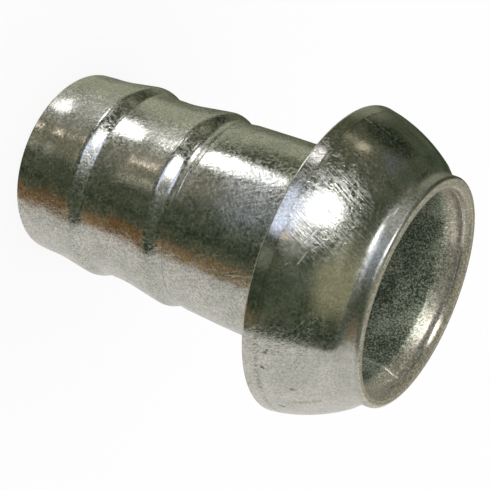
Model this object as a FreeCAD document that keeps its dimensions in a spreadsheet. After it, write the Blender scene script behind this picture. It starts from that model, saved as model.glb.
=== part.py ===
import FreeCAD, Part
import os
import Sketcher

# Hose coupling: a pressed ball head welded onto a barbed shank of rolled tube.
# It stands on the tail of the shank with its mouth up.
# Z is its axis, and the origin is the centre of the tail's end.
# A depth is measured down from the mouth's front plane, and a height up from the tail, all in millimetres.

sizes = {
    "overallLength": 155.0,
    # Shank: a welded tube with two rolled barbs, opened out at the mouth
    "tubeRadius": 38.0,
    "tubeWall": 2.0,
    "tubeInset": 2.85,
    "flareRise": 1.95,
    "flareSeatLength": 2.2,
    "flareConeLength": 4.8,
    "tailDrop": 0.9,
    "footDrop": 1.3,
    "crestRise": 2.35,
    "crestWidth": 0.8,
    "barbStepLength": 5.2,
    "barbTaperLength": 17.6,
    "barbPitch": 35.0,
    "tailLandLength": 8.8,
    "neckingLength": 14.0,
    # Flash of the weld seam inside the tube
    "seamAngle": 34.9,
    "seamWidth": 1.5,
    "seamHeight": 0.45,
    "seamRoot": 0.5,
    "seamEndGap": 0.5,
    # Ball head: collar, neck, ball and skirt, pressed from one disc of sheet
    "sheetThickness": 3.2,
    "seatClearance": 0.05,
    "collarDepth": 6.4,
    "collarRounding": 1.9,
    "neckDepth": 11.4,
    "neckRise": 4.86,
    "ballRadius": 59.7,
    "skirtDepth": 36.0,
    "skirtLandLength": 5.0,
    "skirtRise": 1.0,
    "skirtChamfer": 0.5,
    # Ring of weld between the tube's end and the collar
    "weldRootGap": 0.15,
    "weldFrontGap": 0.2,
}

doc = FreeCAD.newDocument("HoseCoupling")
sheet = doc.addObject("Spreadsheet::Sheet", "Sizes")
for row, (alias, size) in enumerate(sizes.items(), start=1):
    sheet.set(f"A{row}", str(size))
    sheet.setAlias(f"A{row}", alias)
doc.recompute()


def cell(alias):
    return f"Sizes.{alias}"


def number(expression):
    return float(sheet.evalExpression(expression))


def newBody(label):
    body = doc.addObject("PartDesign::Body", label)
    body.Label = label
    return body


def newSketch(body, name):
    # A sketch on the XZ plane: across is the radius and up is Z
    sketch = body.newObject("Sketcher::SketchObject", name)
    upright = next(plane for plane in body.Origin.OriginFeatures if plane.Role == "XZ_Plane")
    sketch.AttachmentSupport = [(upright, "")]
    sketch.MapMode = "FlatFace"
    return sketch


def drawOutline(sketch, corners, arcCentres):
    # A closed outline. A corner is a radius and a height. arcCentres gives the height of the centre
    # on the axis for the arc that runs from the corner of that number to the next one.
    points = [FreeCAD.Vector(number(radius), number(height), 0) for radius, height in corners]
    ends = []
    for index, point in enumerate(points):
        following = points[(index + 1) % len(points)]
        if index in arcCentres:
            centre = FreeCAD.Vector(0, number(arcCentres[index]), 0)
            middle = (point - centre) + (following - centre)
            middle.normalize()
            curve = Part.Arc(point, centre + middle * (point - centre).Length, following)
        else:
            curve = Part.LineSegment(point, following)
        segment = sketch.addGeometry(curve, False)
        forwards = (sketch.getPoint(segment, 1) - point).Length < (sketch.getPoint(segment, 2) - point).Length
        ends.append([(segment, 1), (segment, 2)] if forwards else [(segment, 2), (segment, 1)])
        if index in arcCentres:
            sketch.addConstraint(Sketcher.Constraint("PointOnObject", segment, 3, -2))
    for index, (radius, height) in enumerate(corners):
        corner = ends[index][0]
        endBefore = ends[index - 1][1]
        sketch.addConstraint(Sketcher.Constraint("Coincident", *endBefore, *corner))
        across = Sketcher.Constraint("DistanceX", -1, 1, *corner, number(radius))
        across.Name = f"radius{index}"
        up = Sketcher.Constraint("DistanceY", -1, 1, *corner, number(height))
        up.Name = f"height{index}"
        sketch.addConstraint(across)
        sketch.addConstraint(up)
        sketch.setExpression(f"Constraints.radius{index}", radius)
        sketch.setExpression(f"Constraints.height{index}", height)
    doc.recompute()


def revolve(body, name, sketch, angle, middle=False):
    # Turns a section about the axis, through an expression of degrees
    turned = body.newObject("PartDesign::Revolution", name)
    turned.Profile = sketch
    turned.ReferenceAxis = (sketch, ["V_Axis"])
    turned.Midplane = middle
    turned.setExpression("Angle", angle)
    doc.recompute()


# Shank: the tube's outside from tail to mouth, each corner a radius and a height
tailRadius = f"({cell('tubeRadius')} - {cell('tailDrop')})"
footRadius = f"({cell('tubeRadius')} - {cell('footDrop')})"
crestRadius = f"({footRadius} + {cell('crestRise')})"
flareRadius = f"({cell('tubeRadius')} + {cell('flareRise')})"
firstCrest = f"({cell('tailLandLength')} + {cell('barbTaperLength')})"
secondCrest = f"({firstCrest} + {cell('barbPitch')})"
tubeEnd = f"({cell('overallLength')} - {cell('tubeInset')})"
flareTop = f"({tubeEnd} - {cell('flareSeatLength')})"


def barb(taperRadius, crest):
    # Up a barb's long taper, over its crest, and down the steep step that faces the head
    crestEnd = f"({crest} + {cell('crestWidth')})"
    return [
        (taperRadius, f"({crest} - {cell('barbTaperLength')})"),
        (crestRadius, crest),
        (crestRadius, crestEnd),
        (footRadius, f"({crestEnd} + {cell('barbStepLength')})"),
    ]


tail = (tailRadius, "0")
tailBarb = barb(tailRadius, firstCrest)
headBarb = barb(footRadius, secondCrest)
neckingTop = f"({headBarb[-1][1]} + {cell('neckingLength')})"
plainTube = [
    (cell("tubeRadius"), neckingTop),
    (cell("tubeRadius"), f"({flareTop} - {cell('flareConeLength')})"),
    (flareRadius, flareTop),
    (flareRadius, tubeEnd),
]
shankOutside = [tail] + tailBarb + headBarb + plainTube
# The bore follows the rolled outside, one wall further in. Its crests have no flat of their own.
borePath = [tail] + tailBarb[:2] + tailBarb[3:] + headBarb[:2] + headBarb[3:] + plainTube


def offWall(corner, inwards):
    # A place further in than the tube's outside
    radius, height = corner
    return f"({radius} - {cell('tubeWall')} - {inwards})", height


bore = [offWall(corner, "0") for corner in borePath]
hoseShank = newBody("hose_shank")
shankSketch = newSketch(hoseShank, "ShankSection")
drawOutline(shankSketch, shankOutside + bore[::-1], {})
revolve(hoseShank, "ShankTurned", shankSketch, "360")

# Flash of the tube's weld seam: a low bead along the bore, which stops just short of both ends
seamStart = (tailRadius, cell("seamEndGap"))
seamEnd = (flareRadius, f"({tubeEnd} - {cell('seamEndGap')})")
seamPath = [seamStart] + borePath[1:-1] + [seamEnd]
seamRoots = [offWall(corner, f"(-{cell('seamRoot')})") for corner in seamPath]
seamTops = [offWall(corner, cell("seamHeight")) for corner in seamPath]
seamSketch = newSketch(hoseShank, "SeamSection")
aboutAxis = FreeCAD.Rotation(FreeCAD.Vector(0, 1, 0), number(cell("seamAngle")))
seamSketch.AttachmentOffset = FreeCAD.Placement(FreeCAD.Vector(0, 0, 0), aboutAxis)
seamSketch.setExpression("AttachmentOffset.Rotation.Angle", cell("seamAngle"))
drawOutline(seamSketch, seamRoots + seamTops[::-1], {})
boreRadius = f"({cell('tubeRadius')} - {cell('tubeWall')})"
revolve(hoseShank, "SeamBead", seamSketch, f"{cell('seamWidth')} / {boreRadius} * 180 / pi", middle=True)

# Ball head: its collar fits over the tube's opened end, and its heights start at the skirt's back edge.
# The skirt's last stretch, its land, runs straight and opens a little further.
collarBore = f"({flareRadius} + {cell('seatClearance')})"
collarRadius = f"({collarBore} + {cell('sheetThickness')})"
neckRadius = f"({collarRadius} + {cell('neckRise')})"
ballCentre = f"({cell('neckDepth')} + sqrt({cell('ballRadius')} ^ 2 - {neckRadius} ^ 2))"
innerBallRadius = f"({cell('ballRadius')} - {cell('sheetThickness')})"
innerNeckDepth = f"({cell('neckDepth')} + {cell('sheetThickness')} / 2)"
landDepth = f"({cell('skirtDepth')} - {cell('skirtLandLength')})"


def onBall(radius, depth):
    # Distance of a ball's surface from the axis, at a depth
    return f"sqrt({radius} ^ 2 - ({ballCentre} - {depth}) ^ 2)"


def fromSkirt(depth):
    return f"({cell('skirtDepth')} - {depth})"


outerLand = onBall(cell("ballRadius"), landDepth)
innerLand = onBall(innerBallRadius, landDepth)
outerEdge = f"({outerLand} + {cell('skirtRise')})"
innerEdge = f"({innerLand} + {cell('skirtRise')})"
roundedShare = "(1 - cos(45))"
collarRound = cell("collarRounding")
collarBack = fromSkirt(cell("collarDepth"))
ballSection = [
    (collarBore, cell("skirtDepth")),
    (f"({collarRadius} - {collarRound})", cell("skirtDepth")),
    (f"({collarRadius} - {collarRound} * {roundedShare})", fromSkirt(f"({collarRound} * {roundedShare})")),
    (collarRadius, fromSkirt(collarRound)),
    (collarRadius, collarBack),
    (neckRadius, fromSkirt(cell("neckDepth"))),
    (outerLand, fromSkirt(landDepth)),
    (outerEdge, cell("skirtChamfer")),
    (f"({outerEdge} - {cell('skirtChamfer')})", "0"),
    (innerEdge, "0"),
    (innerLand, fromSkirt(landDepth)),
    (onBall(innerBallRadius, innerNeckDepth), fromSkirt(innerNeckDepth)),
    (collarBore, f"({collarBack} - {cell('sheetThickness')} / 2)"),
]
ballHead = newBody("ball_head")
ballHead.setExpression("Placement.Base.z", f"{cell('overallLength')} - {cell('skirtDepth')}")
ballSketch = newSketch(ballHead, "BallSection")
outerArc = ballSection.index((neckRadius, fromSkirt(cell("neckDepth"))))
innerArc = ballSection.index((innerLand, fromSkirt(landDepth)))
drawOutline(ballSketch, ballSection, {outerArc: fromSkirt(ballCentre), innerArc: fromSkirt(ballCentre)})
revolve(ballHead, "BallTurned", ballSketch, "360")

# Weld ring in the corner between the tube's end and the collar's bore
weldSection = [
    (f"({flareRadius} - {cell('tubeWall')} + {cell('weldRootGap')})", "0"),
    (collarBore, "0"),
    (collarBore, f"({cell('tubeInset')} - {cell('weldFrontGap')})"),
]
mouthWeld = newBody("mouth_weld")
mouthWeld.setExpression("Placement.Base.z", tubeEnd)
weldSketch = newSketch(mouthWeld, "WeldSection")
drawOutline(weldSketch, weldSection, {})
revolve(mouthWeld, "WeldTurned", weldSketch, "360")

doc.recompute()
for item in doc.Objects:
    if "Invalid" in item.State or "Error" in item.State:
        raise RuntimeError(f"{item.Name} failed: {item.State}")
os.makedirs("parts", exist_ok=True)
for body in (ballHead, hoseShank, mouthWeld):
    if body.Shape.isNull() or not body.Shape.isValid() or len(body.Shape.Solids) != 1:
        raise RuntimeError(f"{body.Label} isn't one valid solid")
    body.Shape.exportStep(f"parts/{body.Label}.step")
    print(body.Label, "volume", round(body.Shape.Volume), "mm3")
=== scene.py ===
import math
import bpy
from mathutils import Matrix, Vector, noise


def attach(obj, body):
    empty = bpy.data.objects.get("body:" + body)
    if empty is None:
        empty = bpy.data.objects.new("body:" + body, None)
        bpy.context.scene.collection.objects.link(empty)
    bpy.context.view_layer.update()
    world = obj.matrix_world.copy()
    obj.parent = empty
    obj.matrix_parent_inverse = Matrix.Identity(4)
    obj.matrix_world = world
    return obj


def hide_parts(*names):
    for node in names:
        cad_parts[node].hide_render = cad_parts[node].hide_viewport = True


# Hose coupling: a pressed ball head on a barbed shank, galvanised, standing on its tail
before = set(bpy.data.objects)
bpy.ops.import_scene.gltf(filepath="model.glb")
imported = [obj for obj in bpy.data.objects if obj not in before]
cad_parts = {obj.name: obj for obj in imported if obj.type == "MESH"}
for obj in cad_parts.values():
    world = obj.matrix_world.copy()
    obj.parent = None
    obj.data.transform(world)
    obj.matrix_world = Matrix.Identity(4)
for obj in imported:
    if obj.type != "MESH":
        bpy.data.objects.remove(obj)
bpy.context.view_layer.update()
mm = 0.001
scene = bpy.context.scene


# Outlines and turned meshes
cornerStep = math.radians(6)  # angle between points on a rounded corner
leastTurn = 0.01  # in radians; a corner that turns less gets no rounding
seedStride = 97.0  # mm between the places where two seeds read the noise


def roundOutline(corners, spacing):
    # corners are (radius, height, rounding) in mm of a closed outline; long runs get points every spacing
    points = []
    count = len(corners)
    for index, (radius, height, rounding) in enumerate(corners):
        here = Vector((radius, height))
        before = Vector(corners[index - 1][:2])
        after = Vector(corners[(index + 1) % count][:2])
        toBefore = (before - here).normalized()
        toAfter = (after - here).normalized()
        turn = math.pi - toBefore.angle(toAfter)
        if rounding == 0 or turn < leastTurn:
            points.append(here)
            continue
        back = rounding * math.tan(turn / 2)
        start = here + toBefore * back
        end = here + toAfter * back
        centre = here + (toBefore + toAfter).normalized() * (rounding / math.cos(turn / 2))
        steps = max(3, math.ceil(turn / cornerStep))
        for step in range(steps + 1):
            share = step / steps
            chord = start.lerp(end, share) - centre
            points.append(centre + chord.normalized() * rounding)
    filled = []
    for index, point in enumerate(points):
        following = points[(index + 1) % len(points)]
        pieces = max(1, math.ceil((following - point).length / spacing))
        for piece in range(pieces):
            filled.append(point.lerp(following, piece / pieces))
    return filled


def around(angle, radius, height):
    # A point in metres, from its angle about the axis and its radius and height in mm
    return (radius * math.cos(angle) * mm, radius * math.sin(angle) * mm, height * mm)


def newPiece(name, vertices, faces):
    mesh = bpy.data.meshes.new(name)
    mesh.from_pydata(vertices, [], faces)
    mesh.update()
    mesh.shade_smooth()
    piece = bpy.data.objects.new(name, mesh)
    scene.collection.objects.link(piece)
    return piece


def turnOutline(name, outline, turns, shape):
    # Sweeps a closed outline round the axis. shape moves a point: (angle, radius, height) to (radius, height)
    vertices = []
    for turn in range(turns):
        angle = 2 * math.pi * turn / turns
        for radius, height in outline:
            vertices.append(around(angle, *shape(angle, radius, height)))
    count = len(outline)
    faces = []
    for turn in range(turns):
        here = turn * count
        there = ((turn + 1) % turns) * count
        for index in range(count):
            following = (index + 1) % count
            faces.append((here + index, there + index, there + following, here + following))
    return newPiece(name, vertices, faces)


def wobble(angle, radius, height, size, seed):
    # Smooth noise about -1 to 1 on the surface, with swells of the given size in mm
    place = Vector((radius * math.cos(angle), radius * math.sin(angle), height + seed * seedStride)) / size
    return noise.noise(place)


# Material helpers
def newMaterial(name):
    material = bpy.data.materials.new(name)
    material.use_nodes = True
    tree = material.node_tree
    tree.nodes.clear()
    return material, tree


def addNode(tree, kind, inputs=None, **properties):
    # Adds a node, sets its properties and feeds its inputs
    node = tree.nodes.new(kind)
    for name, value in properties.items():
        setattr(node, name, value)
    for name, value in (inputs or {}).items():
        feed(tree, node.inputs[name], value)
    return node


def feed(tree, socket, value):
    # A number or a colour is set on the socket itself; anything else is linked
    if isinstance(value, (int, float)):
        socket.default_value = value
    elif isinstance(value, (tuple, list, Vector)):
        socket.default_value = (*value, 1.0) if socket.type == "RGBA" else value
    else:
        tree.links.new(value, socket)


def calculate(tree, operation, first, second=None, third=None):
    node = addNode(tree, "ShaderNodeMath", operation=operation)
    for index, value in enumerate((first, second, third)):
        if value is not None:
            feed(tree, node.inputs[index], value)
    return node.outputs[0]


def times(tree, first, second):
    return calculate(tree, "MULTIPLY", first, second)


def vectorStep(tree, operation, first, second=(0, 0, 0)):
    # One vector operation; a distance or a dot product comes back as a number
    node = addNode(tree, "ShaderNodeVectorMath", {0: first, 1: second}, operation=operation)
    return node.outputs["Value" if operation in ("DISTANCE", "DOT_PRODUCT") else "Vector"]


def greyOf(tree, value):
    # The same number three times, to scale a colour with
    return addNode(tree, "ShaderNodeCombineXYZ", {0: value, 1: value, 2: value}).outputs[0]


def heightOf(tree, place):
    return addNode(tree, "ShaderNodeSeparateXYZ", {0: place}).outputs[2]


def clamp(tree, value):
    # Keeps a number between 0 and 1
    return addNode(tree, "ShaderNodeClamp", {0: value}).outputs[0]


def spread(tree, value, low, high, toLow=0.0, toHigh=1.0):
    # Maps low to toLow and high to toHigh along a smooth step
    inputs = {"Value": value, "From Min": low, "From Max": high, "To Min": toLow, "To Max": toHigh}
    return addNode(tree, "ShaderNodeMapRange", inputs, interpolation_type="SMOOTHSTEP").outputs["Result"]


def without(tree, value, cover, share=0.0):
    # The value where cover is 0, falling to a share of it where cover is 1
    return times(tree, value, spread(tree, cover, 0.0, 1.0, 1.0, share))


def noiseOf(tree, vector, perMetre, detail=2.0, roughness=0.5, distortion=0.0):
    inputs = {"Scale": perMetre, "Detail": detail, "Roughness": roughness, "Distortion": distortion}
    return addNode(tree, "ShaderNodeTexNoise", {"Vector": vector, **inputs}).outputs["Fac"]


def mixNumbers(tree, factor, first, second):
    return addNode(tree, "ShaderNodeMix", {0: factor, 2: first, 3: second}).outputs[0]


def mixColours(tree, factor, first, second):
    return addNode(tree, "ShaderNodeMix", {0: factor, 6: first, 7: second}, data_type="RGBA").outputs[2]


def blendShaders(tree, factor, first, second):
    # Mixes two shaders and makes the result the material's surface
    both = addNode(tree, "ShaderNodeMixShader", {0: factor, 1: first.outputs[0], 2: second.outputs[0]})
    addNode(tree, "ShaderNodeOutputMaterial", {"Surface": both.outputs[0]})


def helixStreaks(tree, place, lean, fineness, length):
    # Streaks that wind round the axis. lean is in radians of turn per metre of height.
    angle = times(tree, heightOf(tree, place), lean)
    inputs = {"Vector": place, "Angle": angle}
    turned = addNode(tree, "ShaderNodeVectorRotate", inputs, rotation_type="Z_AXIS")
    stretched = vectorStep(tree, "MULTIPLY", turned.outputs[0], (fineness, fineness, 1 / length))
    return noiseOf(tree, stretched, 1.0, roughness=0.6)


def straightStreaks(tree, place, along, fineness, length):
    # Streaks along one direction, for scratches on a part that faces one way
    along = Vector(along).normalized()
    side = along.cross(Vector((0, 1, 0))).normalized()
    alongPart = times(tree, vectorStep(tree, "DOT_PRODUCT", place, along), 1 / length)
    sidePart = times(tree, vectorStep(tree, "DOT_PRODUCT", place, side), fineness)
    parts = addNode(tree, "ShaderNodeCombineXYZ", {0: alongPart, 1: sidePart})
    return noiseOf(tree, parts.outputs[0], 1.0, roughness=0.6, distortion=0.3)


def addBumps(tree, layers, shaders):
    # layers are (height, strength, distance in mm), chained from the broadest to the finest
    normal = None
    for height, strength, distance in layers:
        inputs = {"Height": height, "Strength": strength, "Distance": distance * mm}
        bump = addNode(tree, "ShaderNodeBump", inputs)
        if normal is not None:
            tree.links.new(normal, bump.inputs["Normal"])
        normal = bump.outputs[0]
    for shader in shaders:
        tree.links.new(normal, shader.inputs["Normal"])


# The zinc coat. Pairs are the values of a noise between which a thing fades in, the same on every piece.
zinc = {
    "patches": (0.35, 0.65), "patchRough": (0.3, 0.7), "speckle": (0.34, 0.50),
    "specksPerMetre": 1100, "specks": (0.40, 0.60),
    "winding": (0.54, 0.70), "crossing": (0.58, 0.72), "crossingShare": 0.8, "worn": (0.42, 0.62),
    "rubLines": (0.50, 0.62), "rubCrossing": (0.52, 0.64), "haze": (0.30, 0.70), "hazeGrain": (0.43, 0.57),
    # a mark is ragged by this many of its widths, and fades from this share of its width
    "markRagged": 5, "markCore": 0.3, "gougeDepth": 2.0, "darkRingGrain": (0.48, 0.56),
    # a face looks at the axis where its normal times its place, in metres, is below these
    "inward": (-0.02, -0.008),
    "pits": (0.43, 0.59), "pitPatches": 0.28, "rimPits": (0.40, 0.60), "rimSmooth": 0.08,
    "lipPits": (0.38, 0.62),
    # bumps in mm
    "broadHeight": 1.0, "peelHeight": 0.25, "grainHeight": 0.10, "scratchDepth": 0.06,
}


def patchOf(tree, place, patch, ragged):
    # Where a handled or rubbed patch is: 1 at its centre, ragged towards its edge
    away = vectorStep(tree, "DISTANCE", place, [part * mm for part in patch["centre"]])
    away = calculate(tree, "MULTIPLY_ADD", ragged, patch["raggedness"] * mm, away)
    return spread(tree, away, patch["core"] * mm, patch["edge"] * mm, 1.0, 0.0)


def markOf(tree, place, start, end, width, ragged=None):
    # A line of the given width between two places in mm, faded at its sides and ragged where a noise is given
    start = Vector(start) * mm
    run = Vector(end) * mm - start
    away = vectorStep(tree, "SUBTRACT", place, start)
    share = times(tree, vectorStep(tree, "DOT_PRODUCT", away, run), 1 / run.length_squared)
    nearest = addNode(tree, "ShaderNodeVectorMath", {0: run, "Scale": clamp(tree, share)}, operation="SCALE")
    aside = vectorStep(tree, "DISTANCE", away, nearest.outputs[0])
    if ragged is not None:
        uneven = calculate(tree, "SUBTRACT", ragged, 0.5)
        aside = calculate(tree, "MULTIPLY_ADD", uneven, zinc["markRagged"] * width * mm, aside)
    return spread(tree, aside, width * zinc["markCore"] * mm, width * mm, 1.0, 0.0)


def ringOf(tree, height, level, halfWidth):
    # 1 on a thin ring round the axis at a level in mm
    away = calculate(tree, "ABSOLUTE", calculate(tree, "SUBTRACT", height, level * mm))
    return spread(tree, away, 0.0, halfWidth * mm, 1.0, 0.0)


def windingScratches(tree, place, look):
    # Fine scratches that wind round the axis both ways, where the coat is worn
    share = zinc["crossingShare"]
    fineness = look["streakFineness"]
    length = look["streakLength"]
    streaks = helixStreaks(tree, place, look["lean"], fineness, length)
    crossing = helixStreaks(tree, place, -look["lean"] * share, fineness * share, length)
    crossing = spread(tree, crossing, *zinc["crossing"])
    scratches = calculate(tree, "ADD", spread(tree, streaks, *zinc["winding"]), crossing)
    worn = noiseOf(tree, place, look["wornPerMetre"])
    return times(tree, scratches, spread(tree, worn, *zinc["worn"], look["wornLow"], 1.0))


def rubLines(tree, place, patch):
    # The fine lines of a rubbed patch, in one direction or two
    lines = straightStreaks(tree, place, patch["along"], patch["fineness"], patch["length"])
    lines = spread(tree, lines, *zinc["rubLines"])
    if "across" in patch:
        second = straightStreaks(tree, place, patch["across"], patch["fineness"], patch["length"])
        lines = calculate(tree, "MAXIMUM", lines, spread(tree, second, *zinc["rubCrossing"]))
    return lines


def boreOf(tree, dull, pits, patches, mouth):
    # Tone and roughness of the faces that look at the axis: grainy, with dark green tones of painted shade
    # and painted green reflection, and lighter and browner at the mouth, painted light where light reaches in
    shift = zinc["pitPatches"]
    pale = spread(tree, patches, *zinc["patches"], -shift, shift)
    pale = calculate(tree, "ADD", spread(tree, pits, *zinc["pits"]), pale)
    tone = mixColours(tree, pale, dull["darkTone"], dull["paleTone"])
    rim = mixColours(tree, spread(tree, pits, *zinc["rimPits"]), dull["rimLitDark"], dull["rimLitPale"])
    rough = spread(tree, patches, *zinc["patchRough"], dull["roughLow"], dull["roughHigh"])
    rough = calculate(tree, "MULTIPLY_ADD", mouth, -zinc["rimSmooth"], rough)
    return mixColours(tree, mouth, tone, rim), rough


def galvanisedFinish(name, look):
    # Zinc on steel: patches of tone, an orange peel, grain, fine scratches that wind round, rubbed patches.
    # Faces that look at the axis are dull and grainy, with painted shade and a painted green reflection deep
    # in and painted light at the mouth.
    material, tree = newMaterial(name)
    coordinates = addNode(tree, "ShaderNodeTexCoord")
    place = coordinates.outputs["Object"]
    height = heightOf(tree, place)
    # 1 towards the mouth: more haze there, and on the inside the lighter tones of painted light
    mouth = spread(tree, height, *look["mouthZone"])
    dull = look["inside"]
    patches = noiseOf(tree, place, look["patchesPerMetre"], detail=3.0, roughness=0.6, distortion=0.4)
    broad = noiseOf(tree, place, look["broadPerMetre"], detail=1.0)
    peel = noiseOf(tree, place, look["peelPerMetre"])
    grain = noiseOf(tree, place, look["grainPerMetre"], detail=3.0, roughness=0.7)
    specks = noiseOf(tree, place, zinc["specksPerMetre"], detail=3.0, roughness=0.7)
    mottle = noiseOf(tree, place, look["mottlePerMetre"], detail=3.0, roughness=0.6)
    pits = noiseOf(tree, place, dull["grainPerMetre"], detail=3.0, roughness=0.7)

    # Patches and speckle, and a haze that mixes the duller shader in
    tone = mixColours(tree, spread(tree, patches, *zinc["patches"]), look["darkTone"], look["paleTone"])
    speckle = times(tree, spread(tree, grain, *zinc["speckle"], 1.0, 0.0), look["speckle"])
    tone = mixColours(tree, speckle, tone, look["stainTone"])
    haze = spread(tree, mottle, *zinc["haze"], look["hazeLow"], look["hazeHigh"])
    uneven = spread(tree, grain, *zinc["hazeGrain"], 1 - look["hazeGrain"], 1 + look["hazeGrain"])
    haze = calculate(tree, "MULTIPLY_ADD", haze, uneven, times(tree, mouth, look["mouthScuff"]))

    # Scratches, rubbed patch, marks, stains and gouges
    scratches = windingScratches(tree, place, look)
    if "rubbed" in look:
        patch = look["rubbed"]
        rubbed = patchOf(tree, place, patch, patches)
        lines = rubLines(tree, place, patch)
        scratches = calculate(tree, "MULTIPLY_ADD", times(tree, lines, rubbed), patch["depth"], scratches)
        tone = mixColours(tree, times(tree, rubbed, patch["toneShare"]), tone, patch["tone"])
        lined = calculate(tree, "MULTIPLY_ADD", lines, patch["lineShare"], patch["rubShare"])
        haze = calculate(tree, "MULTIPLY_ADD", rubbed, lined, haze)
    for start, end, width, share, colour in look.get("marks", ()):
        mark = times(tree, markOf(tree, place, start, end, width, grain), share)
        tone = mixColours(tree, mark, tone, colour)
    # A patchy darker ring along a crease, where one is listed
    for level, halfWidth, share, colour in look.get("creaseDarkRings", ()):
        darkened = times(tree, ringOf(tree, height, level, halfWidth), spread(tree, grain, *zinc["darkRingGrain"]))
        tone = mixColours(tree, times(tree, darkened, share), tone, colour)
    for start, end, width in look.get("gouges", ()):
        gouge = markOf(tree, place, start, end, width)
        scratches = calculate(tree, "MULTIPLY_ADD", gouge, zinc["gougeDepth"], scratches)
    rough = spread(tree, patches, *zinc["patchRough"], look["roughLow"], look["roughHigh"])
    rough = calculate(tree, "MULTIPLY_ADD", scratches, look["scratchRough"], rough)
    scuffs = calculate(tree, "MULTIPLY_ADD", scratches, look["scuffShare"], haze)

    # Faces that look at the axis, toned with painted shade deep in and painted light at the mouth
    radial = vectorStep(tree, "MULTIPLY", place, (1.0, 1.0, 0.0))
    inward = vectorStep(tree, "DOT_PRODUCT", coordinates.outputs["Normal"], radial)
    inward = spread(tree, inward, *zinc["inward"], 1.0, 0.0)
    insideTone, insideRough = boreOf(tree, dull, pits, patches, mouth)
    tone = mixColours(tree, inward, tone, insideTone)
    rough = mixNumbers(tree, inward, rough, insideRough)
    metallic = spread(tree, inward, 0.0, 1.0, 1.0, dull["metallic"])
    scuffs = without(tree, scuffs, inward)

    # Cut edges, duller and browner; on the weld ring the same band is painted shade on its inner slope,
    # damping the highlight there
    if "lip" in look:
        edge = look["lip"]
        lip = spread(tree, height, *edge["zone"])
        if "skirt" in edge:
            lip = calculate(tree, "MAXIMUM", lip, spread(tree, height, *edge["skirt"], 1.0, 0.0))
        lipTone = mixColours(tree, spread(tree, pits, *zinc["lipPits"]), edge["darkTone"], edge["paleTone"])
        tone = mixColours(tree, lip, tone, lipTone)
        metallic = without(tree, metallic, lip, edge["metallic"])
        scuffs = without(tree, scuffs, lip)

    speck = greyOf(tree, spread(tree, specks, *zinc["specks"], 1 - look["speck"], 1 + look["speck"]))
    tone = vectorStep(tree, "MULTIPLY", tone, speck)
    inputs = {"Base Color": tone, "Metallic": metallic, "Roughness": rough}
    bright = addNode(tree, "ShaderNodeBsdfPrincipled", inputs)
    inputs = {"Base Color": tone, "Metallic": 1.0, "Roughness": look["scuffRough"]}
    scuffed = addNode(tree, "ShaderNodeBsdfPrincipled", inputs)
    layers = [
        (broad, look["broadStrength"], zinc["broadHeight"]),
        (peel, look["peelStrength"], zinc["peelHeight"]),
        (grain, look["grainStrength"], zinc["grainHeight"]),
        (scratches, look["scratchStrength"], -zinc["scratchDepth"]),
    ]
    for level, halfWidth, rise in look.get("rings", ()):
        layers.append((ringOf(tree, height, level, halfWidth), 1.0, rise))
    addBumps(tree, layers, [bright, scuffed])
    blendShaders(tree, clamp(tree, scuffs), bright, scuffed)
    return material


# Shank: one tube with two rolled barbs, opened out at the mouth
shank = {
    "wall": 2.0,
    # radius, height and rounding of the outside's corners, from the tail up
    "outside": [
        (36.7, 0.0, 0.5), (37.0, 5.0, 60.0), (37.05, 11.5, 60.0), (39.14, 27.31, 3.4), (36.7, 32.1, 2.6),
        (36.7, 43.8, 50.0), (39.14, 62.31, 3.4), (36.7, 67.1, 4.0), (37.4, 73.4, 8.0), (37.8, 88.0, 40.0),
        (38.0, 106.0, 40.0), (38.0, 145.15, 5.0), (39.95, 149.95, 5.0), (39.95, 152.15, 0.25),
    ],
    "edgeRounding": 0.3,
    "turns": 288,
    "spacing": 1.8,
    # swells that rolling left, between two heights
    "swell": 0.06,
    "swellSize": 15.0,
    "swellBottom": 1.0,
    "swellTop": 140.0,
    "swellFade": 6.0,
    # the tail sits a little to one side of the axis, as the photo's outline shows
    "aside": 0.6,
    "asideAngle": math.radians(26),
    "asideTop": 32.0,
}


def rolled(angle, radius, height):
    # Moves a point of the tube as rolling left it: a faint swell, and the tail a little aside
    above = max(0, (height - shank["swellBottom"]) / shank["swellFade"])
    below = max(0, (shank["swellTop"] - height) / shank["swellFade"])
    fade = min(1, above, below)
    radius -= shank["swell"] * fade * (1 + wobble(angle, radius, height, shank["swellSize"], seed=1))
    lean = max(0, 1 - height / shank["asideTop"])
    return radius + shank["aside"] * lean * math.cos(angle - shank["asideAngle"]), height


def makeShank():
    outside = shank["outside"]
    inside = [(radius - shank["wall"], height, rounding) for radius, height, rounding in reversed(outside)]
    for end in (0, -1):
        inside[end] = (*inside[end][:2], shank["edgeRounding"])
    outline = roundOutline(outside + inside, shank["spacing"])
    return turnOutline("shankTube", outline, shank["turns"], rolled)
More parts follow.
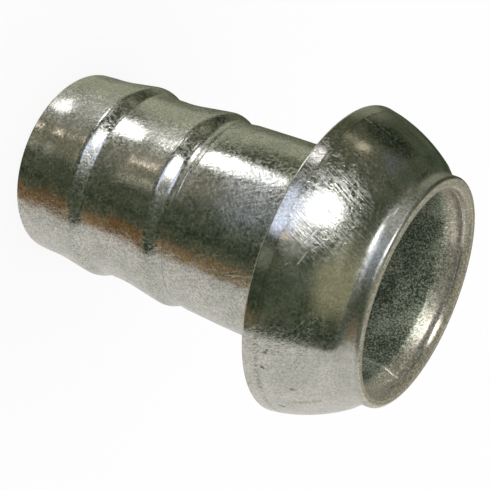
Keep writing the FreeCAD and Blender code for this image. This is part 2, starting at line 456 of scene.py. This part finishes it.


# The dull inside of tube and collar: its dark green tones are painted shade and a painted green reflection,
# its lighter rim tones painted light at the mouth
boreFinish = {
    "darkTone": (0.14, 0.18, 0.13), "paleTone": (0.82, 0.86, 0.72), "metallic": 0.7, "grainPerMetre": 1400,
    "rimLitDark": (0.42, 0.38, 0.31), "rimLitPale": (0.84, 0.79, 0.70), "roughLow": 0.32, "roughHigh": 0.46,
}
tubeFinish = galvanisedFinish("galvanisedTube", {
    "patchesPerMetre": 90, "broadPerMetre": 70, "peelPerMetre": 300, "grainPerMetre": 950, "wornPerMetre": 45,
    "mottlePerMetre": 330, "lean": 12.0, "streakFineness": 1400, "streakLength": 0.010, "wornLow": 0.15,
    "darkTone": (0.52, 0.53, 0.50), "paleTone": (0.64, 0.64, 0.61), "stainTone": (0.34, 0.35, 0.31),
    "speckle": 0.75, "speck": 0.20,
    "roughLow": 0.08, "roughHigh": 0.14, "scratchRough": 0.06, "scuffRough": 0.44, "scuffShare": 0.30,
    "hazeLow": 0.13, "hazeHigh": 0.44, "hazeGrain": 1.0, "mouthZone": (0.1442, 0.1495), "mouthScuff": 0.2,
    "broadStrength": 0.14, "peelStrength": 0.24, "grainStrength": 0.38, "scratchStrength": 0.6,
    "inside": boreFinish,
    # level and half width in mm of thin turned lines by the barbs, and their height
    "rings": [(70.0, 0.6, 0.16), (71.4, 0.8, -0.10), (26.2, 0.4, 0.05), (61.3, 0.4, 0.05)],
    "rubbed": {
        "centre": (-8, -37, 97), "core": 9, "edge": 26, "raggedness": 12,
        "along": (0.8, 0, 0.6), "across": (-0.5, 0, 0.86), "fineness": 1300, "length": 0.007, "depth": 0.8,
        "tone": (0.60, 0.62, 0.66), "toneShare": 0.8, "lineShare": 0.35, "rubShare": 0.10,
    },
})
shankTube = makeShank()
shankTube.data.materials.append(tubeFinish)
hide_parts("hose_shank")
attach(shankTube, "root")
print("shank made")

# Flash of the seam weld, a low bead along the bore
seam = {
    "angle": math.radians(34.9), "halfWidth": 0.85, "height": 0.45, "root": 0.3, "endGap": 0.5,
    "step": 1.2, "across": 9, "fullness": 0.7,
    # how far the bead swells, as a share, and strays, in mm: waves per mm and where the noise is read
    "swell": 0.25, "swellPerMm": 0.45, "swellSeed": 3.1, "stray": 0.12, "strayPerMm": 0.3, "straySeed": 9.4,
}


def makeSeamFlash():
    path = [(radius - shank["wall"], height) for radius, height, rounding in shank["outside"]]
    path[0] = (path[0][0], seam["endGap"])
    path[-1] = (path[-1][0], path[-1][1] - seam["endGap"])
    stations = []
    for (radius, height), (nextRadius, nextHeight) in zip(path[:-1], path[1:]):
        pieces = max(1, math.ceil((nextHeight - height) / seam["step"]))
        for piece in range(pieces):
            share = piece / pieces
            stations.append((radius + (nextRadius - radius) * share, height + (nextHeight - height) * share))
    stations.append(path[-1])
    across = seam["across"]
    vertices = []
    for index, (radius, height) in enumerate(stations):
        swell = 1 + seam["swell"] * noise.noise(Vector((height * seam["swellPerMm"], seam["swellSeed"], 0.0)))
        side = seam["stray"] * noise.noise(Vector((height * seam["strayPerMm"], seam["straySeed"], 0.0)))
        for step in range(across):
            share = step / (across - 1)
            turn = (share * 2 - 1) * seam["halfWidth"]
            deep = seam["height"] * swell * math.sin(math.pi * share) ** seam["fullness"]
            if step in (0, across - 1) or index in (0, len(stations) - 1):
                deep = -seam["root"]
            angle = seam["angle"] + (turn + side) / radius
            vertices.append(around(angle, rolled(angle, radius, height)[0] - deep, height))
    faces = []
    for index in range(len(stations) - 1):
        for step in range(across - 1):
            first = index * across + step
            faces.append((first, first + across, first + across + 1, first + 1))
    return newPiece("seamFlash", vertices, faces)


# What the seam's flash and the weld ring share: a finer pattern, because they are small
smallFinish = {
    "patchesPerMetre": 200, "broadPerMetre": 90, "peelPerMetre": 700, "wornPerMetre": 60,
    "mottlePerMetre": 500, "lean": 12.0, "streakFineness": 1500, "streakLength": 0.012, "wornLow": 0.0,
    "stainTone": (0.30, 0.29, 0.25), "speck": 0.25, "scratchRough": 0.05, "scuffShare": 0.2,
    "hazeLow": 0.2, "hazeHigh": 0.4, "hazeGrain": 0.8, "mouthZone": (0.1425, 0.149),
    "broadStrength": 0.05, "peelStrength": 0.25, "scratchStrength": 0.1,
}
seamFinish = galvanisedFinish("galvanisedSeam", {
    **smallFinish, "grainPerMetre": 950, "grainStrength": 0.3, "speckle": 0.4, "mouthScuff": 0.0,
    "darkTone": (0.50, 0.50, 0.46), "paleTone": (0.70, 0.69, 0.64),
    "roughLow": 0.16, "roughHigh": 0.26, "scuffRough": 0.45,
    # the bead's faces look at the axis; their tones, paler than the bore's, are a painted highlight along the
    # bead
    "inside": {
        "darkTone": (0.50, 0.53, 0.46), "paleTone": (0.80, 0.80, 0.72), "rimLitDark": (0.70, 0.68, 0.58),
        "rimLitPale": (0.92, 0.90, 0.80), "roughLow": 0.26, "roughHigh": 0.36, "metallic": 0.55,
        "grainPerMetre": 1500,
    },
})
seamFlash = makeSeamFlash()
seamFlash.data.materials.append(seamFinish)
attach(seamFlash, "root")
print("seam flash made")

# Ball head: collar, neck, ball and skirt of one sheet
ball = {
    "top": 155.0, "thickness": 3.2, "collarRadius": 43.2, "collarBack": 148.6, "neckRadius": 48.06,
    "neckInset": 3.1, "ballRadius": 59.7, "ballCentre": 108.18, "landTop": 124.0, "bottom": 119.0,
    "landRise": 1.0, "edgeFlare": 0.06,
    "frontRounding": 1.9, "lipRounding": 0.35, "neckRounding": 5.0, "boreRounding": 1.5,
    "edgeRounding": 0.8, "creaseRounding": 0.6, "turns": 320, "spacing": 1.5,
    # swells that pressing left, between two heights
    "swell": 0.03, "swellSize": 14.0, "swellBottom": 121.0, "swellTop": 146.0, "swellFade": 5.0,
}


def ballArc(radius, topRadius, bottomHeight):
    # Points of the ball's section from the neck down to the skirt's land
    start = math.acos(topRadius / radius)
    end = math.asin((bottomHeight - ball["ballCentre"]) / radius)
    steps = math.ceil((start - end) * radius / ball["spacing"])
    arc = []
    for step in range(steps + 1):
        angle = start + (end - start) * step / steps
        arc.append((radius * math.cos(angle), ball["ballCentre"] + radius * math.sin(angle), 0))
    return arc


def makeBallHead():
    inner = ball["ballRadius"] - ball["thickness"]
    bore = ball["collarRadius"] - ball["thickness"]
    outerArc = ballArc(ball["ballRadius"], ball["neckRadius"], ball["landTop"])
    innerArc = ballArc(inner, ball["neckRadius"] - ball["neckInset"], ball["landTop"])
    land = outerArc[-1][0]
    innerLand = innerArc[-1][0]
    outerArc[-1] = (land, ball["landTop"], ball["creaseRounding"])
    corners = [
        (bore, ball["top"], ball["lipRounding"]),
        (ball["collarRadius"], ball["top"], ball["frontRounding"]),
        (ball["collarRadius"], ball["collarBack"], ball["neckRounding"]),
    ]
    corners += outerArc
    corners += [(land + ball["landRise"] + ball["edgeFlare"], ball["bottom"], ball["edgeRounding"]),
                (innerLand + ball["landRise"], ball["bottom"], ball["edgeRounding"])]
    corners += innerArc[::-1]
    corners += [(bore, ball["collarBack"] - ball["thickness"] / 2, ball["boreRounding"])]
    outline = roundOutline(corners, ball["spacing"])

    def pressed(angle, radius, height):
        if not ball["swellBottom"] <= height <= ball["swellTop"] or radius < ball["collarRadius"]:
            return radius, height
        fade = min(1, (height - ball["swellBottom"]) / ball["swellFade"])
        swollen = 1 + wobble(angle, radius, height, ball["swellSize"], seed=2)
        return radius - ball["swell"] * fade * swollen, height

    return turnOutline("ballHead", outline, ball["turns"], pressed)


sheetFinish = galvanisedFinish("galvanisedSheet", {
    "patchesPerMetre": 70, "broadPerMetre": 60, "peelPerMetre": 240, "grainPerMetre": 950, "wornPerMetre": 40,
    "mottlePerMetre": 300, "lean": 9.0, "streakFineness": 1500, "streakLength": 0.010, "wornLow": 0.0,
    "darkTone": (0.54, 0.55, 0.52), "paleTone": (0.65, 0.65, 0.62), "stainTone": (0.40, 0.40, 0.35),
    "speckle": 0.5, "speck": 0.14,
    "roughLow": 0.07, "roughHigh": 0.12, "scratchRough": 0.05, "scuffRough": 0.40, "scuffShare": 0.35,
    "hazeLow": 0.06, "hazeHigh": 0.26, "hazeGrain": 1.0, "mouthZone": (0.1455, 0.1495), "mouthScuff": 0.6,
    "broadStrength": 0.05, "peelStrength": 0.08, "grainStrength": 0.22, "scratchStrength": 0.6,
    "inside": boreFinish,
    "lip": {
        "zone": (0.1541, 0.1549), "skirt": (0.1192, 0.1198),
        "darkTone": (0.26, 0.235, 0.17), "paleTone": (0.60, 0.56, 0.445), "metallic": 0.3,
    },
    # level and half width in mm of the thin turned line in the crease, and its height
    "rings": [(124.0, 0.5, 0.012)],
    # level and half width in mm, share and colour of the patchy darkening along the crease
    "creaseDarkRings": [(124.2, 1.5, 0.75, (0.22, 0.21, 0.15))],
    # start, end and width of scratches deep enough to see one by one, in mm
    "gouges": [
        ((-2.4, -54.8, 131.7), (-7.2, -53.7, 133.3), 0.5), ((4.7, -54.5, 132.0), (0.5, -54.3, 133.2), 0.4),
        ((-49.3, -30.3, 122.7), (-48.5, -29.5, 126.6), 0.5), ((-2.6, -52.9, 135.5), (6.5, -55.6, 128.5), 0.3),
    ],
    "rubbed": {
        "centre": (-14, -52, 135), "core": 10, "edge": 34, "raggedness": 18, "along": (0.479, 0, 0.986),
        "fineness": 1900, "length": 0.008, "depth": 1.0,
        "tone": (0.60, 0.60, 0.57), "toneShare": 0.5, "lineShare": 0.55, "rubShare": 0.05,
    },
    # start, end, width, share and colour of single marks, in mm
    "marks": [
        ((36.6, -43.0, 127.2), (35.6, -43.9, 128.0), 0.9, 0.8, (0.12, 0.13, 0.08)),
        ((41.2, -39.2, 126.0), (41.9, -38.4, 126.6), 0.7, 0.8, (0.12, 0.11, 0.09)),
        ((45.3, -28.2, 134.5), (45.4, -27.8, 135.4), 0.9, 0.7, (0.10, 0.10, 0.08)),
        ((53.3, -17.6, 128.4), (53.6, -15.8, 129.0), 0.9, 0.8, (0.10, 0.10, 0.08)),
        ((49.8, -19.4, 133.5), (46.5, -17.2, 141.0), 1.2, 0.45, (0.24, 0.20, 0.16)),
    ],
})
ballHead = makeBallHead()
ballHead.data.materials.append(sheetFinish)
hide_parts("ball_head")
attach(ballHead, "root")
print("ball head made")

# Ring of weld between the tube's end and the collar
weld = {
    "rootInner": 38.1, "rootOuter": 40.0, "bottom": 152.15, "top": 154.7, "rounding": 0.05,
    # radius, height and rounding of the bulge of its face
    "bulge": (38.75, 153.9, 1.6),
    "turns": 360, "spacing": 0.4,
    # the ripple is two waves, a long one and a share of a short one, and is lower upward than outward
    "ripple": 0.06, "longWave": 2.2, "shortWave": 0.9, "shortShare": 0.5, "upShare": 0.5,
}


def makeWeldRing():
    edge = weld["rounding"]
    corners = [(weld["rootInner"], weld["bottom"], edge), (weld["rootOuter"], weld["bottom"], edge),
               (weld["rootOuter"], weld["top"], edge), weld["bulge"]]
    outline = roundOutline(corners, weld["spacing"])

    def laid(angle, radius, height):
        if radius > weld["rootOuter"] - edge or height < weld["bottom"] + edge:
            return radius, height
        wave = wobble(angle, weld["rootOuter"], 0.0, weld["longWave"], seed=5)
        wave += weld["shortShare"] * wobble(angle, weld["rootOuter"], 0.0, weld["shortWave"], seed=6)
        return radius + weld["ripple"] * wave, height + weld["ripple"] * wave * weld["upShare"]

    return turnOutline("weldRing", outline, weld["turns"], laid)


weldFinish = galvanisedFinish("galvanisedWeld", {
    **smallFinish, "grainPerMetre": 1600, "grainStrength": 0.4, "speckle": 0.6, "mouthScuff": 0.3,
    "darkTone": (0.46, 0.46, 0.43), "paleTone": (0.60, 0.60, 0.57),
    "roughLow": 0.20, "roughHigh": 0.34, "scuffRough": 0.5,
    "inside": {
        "darkTone": (0.44, 0.43, 0.39), "paleTone": (0.74, 0.72, 0.67), "rimLitDark": (0.44, 0.43, 0.39),
        "rimLitPale": (0.74, 0.72, 0.67), "roughLow": 0.24, "roughHigh": 0.36, "metallic": 0.9,
        "grainPerMetre": 1500,
    },
    # a darker, duller band on the weld's inner slope: painted shade that damps its highlight
    "lip": {
        "zone": (0.1523, 0.1535),
        "darkTone": (0.22, 0.20, 0.14), "paleTone": (0.46, 0.425, 0.325), "metallic": 0.35,
    },
})
weldRing = makeWeldRing()
weldRing.data.materials.append(weldFinish)
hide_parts("mouth_weld")
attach(weldRing, "root")
print("weld ring made")

# Camera at the photograph's angle: rolled, because the coupling lay on its side there
view = {
    "place": (0.0002, -0.4363, 0.3077),
    "right": Vector((-0.3640, 0.4295, 0.8264)),
    "up": Vector((-0.9313, -0.1557, -0.3293)),
    "back": Vector((-0.0127, -0.8896, 0.4566)),
    "lens": 96.25, "sensorWidth": 36.0, "clipStart": 0.01,
}
cameraData = bpy.data.cameras.new("photoCamera")
cameraData.lens = view["lens"]
cameraData.sensor_width = view["sensorWidth"]
cameraData.clip_start = view["clipStart"]
camera = bpy.data.objects.new("photoCamera", cameraData)
scene.collection.objects.link(camera)
cameraAxes = Matrix((view["right"], view["up"], view["back"])).transposed().to_4x4()
camera.matrix_world = Matrix.Translation(view["place"]) @ cameraAxes
scene.camera = camera
print("camera placed")

# Floor and surroundings
studio = {
    "floorSize": 12.0, "floorTone": 0.95, "floorGlow": 0.86, "worldTone": 1.0, "worldStrength": 1.0,
    # the room's wall: its noises, and the values of each between which a tone fades in
    "roomRadius": 2.0, "roomCentre": (0, 0, 0.09), "driftScale": 2.2, "drift": 0.16,
    "mottleScale": 6.0, "mottle": (0.38, 0.62), "ceiling": (0.3, 0.9),
    "roomTone": (0.032, 0.052, 0.027), "hazyTone": (0.112, 0.124, 0.078), "shadeTone": (0.020, 0.033, 0.018),
    "ceilingTone": (0.11, 0.115, 0.07),
    # the table card lies this way along the camera's right, up and back
    "tableDown": (-0.17, -0.84, -0.50), "table": (0.565, 0.595), "tableTone": (0.77, 0.75, 0.705),
    # the brown band beyond the table card's edge, on one side of the room
    "band": (0.29, 0.38), "bandWaver": 0.10, "bandSide": (0.48, 0.82), "bandMottle": (0.40, 0.60),
    "brownTone": (0.24, 0.19, 0.11), "orangeTone": (0.33, 0.19, 0.075),
    # the rust cards by that edge: direction as above, half angles of edge and core, colour, share
    "rust": ((-0.955, -0.285, -0.04), 8.5, 4, (0.22, 0.105, 0.032), 0.9),
    "rustStain": ((-0.905, -0.42, -0.05), 5.5, 3, (0.25, 0.135, 0.055), 0.8),
}


def alongView(right, up, back):
    # A direction given along the camera's axes, in the frame of the coupling
    return (view["right"] * right + view["up"] * up + view["back"] * back).normalized()


def towards(side, rise):
    # A direction by degrees to the right of the camera and above it
    side, rise = math.radians(side), math.radians(rise)
    return alongView(math.sin(side) * math.cos(rise), math.sin(rise), math.cos(side) * math.cos(rise))


def makeFloor():
    half = studio["floorSize"] / 2
    corners = [(-half, -half, 0), (half, -half, 0), (half, half, 0), (-half, half, 0)]
    floor = newPiece("floor", corners, [(0, 1, 2, 3)])
    material, tree = newMaterial("floorPaint")
    paint = addNode(tree, "ShaderNodeBsdfDiffuse", {"Color": (studio["floorTone"],) * 3})
    glow = addNode(tree, "ShaderNodeEmission")
    path = addNode(tree, "ShaderNodeLightPath")
    seen = calculate(tree, "ADD", path.outputs["Is Camera Ray"], path.outputs["Is Glossy Ray"])
    seen = calculate(tree, "ADD", seen, path.outputs["Is Transmission Ray"])
    blendShaders(tree, times(tree, seen, studio["floorGlow"]), paint, glow)
    floor.data.materials.append(material)
    floor.visible_glossy = False


def makeRoom():
    # A room of soft cards round the coupling, seen only in the metal: table, edge, backdrop, ceiling, lamps
    bpy.ops.mesh.primitive_uv_sphere_add(
        segments=64, ring_count=32, radius=studio["roomRadius"], location=studio["roomCentre"])
    room = bpy.context.active_object
    room.name = "room"
    material, tree = newMaterial("roomCards")
    straight = vectorStep(tree, "NORMALIZE", addNode(tree, "ShaderNodeTexCoord").outputs["Object"])
    inputs = {"Vector": straight, "Scale": studio["driftScale"], "Detail": 2.0}
    ripple = addNode(tree, "ShaderNodeTexNoise", inputs)
    drift = vectorStep(tree, "SUBTRACT", ripple.outputs["Color"], (0.5, 0.5, 0.5))
    drift = vectorStep(tree, "MULTIPLY", drift, (studio["drift"],) * 3)
    toward = vectorStep(tree, "NORMALIZE", vectorStep(tree, "ADD", straight, drift))

    def facing(direction, vector):
        # Cosine of the angle between a place on the room's wall and a direction
        return vectorStep(tree, "DOT_PRODUCT", vector, direction)

    def lay(under, direction, edge, core, tone, share=1.0, vector=toward):
        # Lays a soft round card over the colours: whole within the core's half angle, none beyond the edge's
        low = math.cos(math.radians(edge))
        high = math.cos(math.radians(core))
        cone = spread(tree, facing(direction, vector), low, high)
        return mixColours(tree, times(tree, cone, share), under, tone)

    down = facing(alongView(*studio["tableDown"]), straight)
    mottle = noiseOf(tree, straight, studio["mottleScale"], detail=4.0, roughness=0.6)
    colour = mixColours(tree, spread(tree, mottle, *studio["mottle"]), studio["roomTone"], studio["hazyTone"])
    upward = facing(alongView(0, 1, 0), toward)
    colour = mixColours(tree, spread(tree, upward, *studio["ceiling"]), colour, studio["ceilingTone"])
    cards = [
        # degrees to the right of the camera and above it, half angles of edge and core, colour, share
        (-170, 48, 35, 13, (0.50, 0.51, 0.385), 1.0),
        (22, -24, 26, 13, (0.345, 0.335, 0.205), 0.95),
        (85, 42, 12, 3, (0.15, 0.16, 0.17), 0.8),
        (76, 62, 6, 2, (0.75, 0.68, 0.50), 1.0),
        (118, 48, 16, 6, (0.013, 0.022, 0.012), 1.0),
    ]
    spots = [
        # along the view's right, up and back; half angles of edge and core; colour; share
        ((-0.08, -0.81, 0.58), 6, 3, studio["shadeTone"], 0.9),
        ((0.12, -0.85, 0.52), 6, 3, studio["shadeTone"], 0.8),
        ((-0.29, -0.76, 0.58), 6, 3, studio["shadeTone"], 0.8),
        ((-0.60, -0.51, 0.61), 10, 4, (0.036, 0.054, 0.030), 0.8),
        ((-0.47, -0.71, 0.53), 5, 2, (0.17, 0.165, 0.115), 0.8),
        ((-0.11, -0.33, 0.94), 12, 4, (0.135, 0.160, 0.120), 0.7),
        ((-0.52, -0.07, 0.85), 8, 3, (0.27, 0.285, 0.205), 0.7),
        ((-0.17, 0.09, 0.98), 12, 4, (0.36, 0.37, 0.31), 0.8),
        ((-0.72, 0.65, 0.20), 25, 10, (0.30, 0.28, 0.20), 0.75),
        ((0.34, 0.94, 0.03), 5, 2, (0.42, 0.39, 0.28), 0.8),
        ((-0.42, 0.89, -0.17), 13, 7, (0.68, 0.67, 0.59), 0.85),
        ((0.06, 0.52, -0.85), 13, 6, (0.125, 0.14, 0.085), 0.9),
        ((-0.02, 0.96, -0.27), 7, 3, (0.14, 0.155, 0.09), 0.85),
        ((0.45, -0.12, 0.88), 14, 6, (0.52, 0.485, 0.345), 0.75),
        ((-0.58, 0.81, 0.05), 16, 6, (0.42, 0.41, 0.35), 0.7),
    ]
    for side, rise, *card in cards:
        colour = lay(colour, towards(side, rise), *card)
    for direction, *card in spots:
        colour = lay(colour, alongView(*direction), *card)
    uneven = calculate(tree, "SUBTRACT", mottle, 0.5)
    band = spread(tree, calculate(tree, "MULTIPLY_ADD", uneven, studio["bandWaver"], down), *studio["band"])
    band = times(tree, band, spread(tree, facing(alongView(-1, 0, 0), straight), *studio["bandSide"]))
    orange = spread(tree, mottle, *studio["bandMottle"])
    bandTone = mixColours(tree, orange, studio["brownTone"], studio["orangeTone"])
    colour = mixColours(tree, band, colour, bandTone)
    direction, *card = studio["rust"]
    colour = lay(colour, alongView(*direction), *card)
    colour = mixColours(tree, spread(tree, down, *studio["table"]), colour, studio["tableTone"])
    direction, *card = studio["rustStain"]
    colour = lay(colour, alongView(*direction), *card)
    lamps = [
        # along the view's right, up and back; half angles of edge and core; colour
        ((-0.38, 0.91, 0.10), 11, 4.5, (5.0, 4.95, 4.9)),
        ((0.08, 0.92, 0.38), 8, 3, (2.2, 2.1, 2.1)),
        ((-0.05, 0.32, 0.95), 12, 4, (0.80, 0.78, 0.75)),
        ((-0.29, 0.46, 0.84), 19, 11, (1.15, 1.25, 1.58)),
        ((-0.29, 0.17, 0.94), 4, 1, (1.6, 1.2, 1.0)),
        ((-0.75, 0.63, 0.20), 2.4, 0.8, (4.4, 3.7, 3.0)),
        ((-0.86, 0.38, 0.30), 5.5, 2, (0.62, 0.60, 0.47)),
        ((0.17, 0.45, 0.87), 13, 7, (8.0, 8.0, 7.8)),
    ]
    for direction, *card in lamps:
        colour = lay(colour, alongView(*direction), *card, vector=straight)
    emission = addNode(tree, "ShaderNodeEmission", {"Color": colour})
    addNode(tree, "ShaderNodeOutputMaterial", {"Surface": emission.outputs[0]})
    room.data.materials.append(material)
    for kind in ("camera", "diffuse", "shadow", "transmission", "volume_scatter"):
        setattr(room, "visible_" + kind, False)


def lightWorld():
    world = bpy.data.worlds.new("studioWorld")
    scene.world = world
    world.use_nodes = True
    background = world.node_tree.nodes["Background"]
    background.inputs["Color"].default_value = (studio["worldTone"],) * 3 + (1.0,)
    background.inputs["Strength"].default_value = studio["worldStrength"]


makeFloor()
makeRoom()
lightWorld()
scene.view_settings.view_transform = "Standard"
print("studio made")
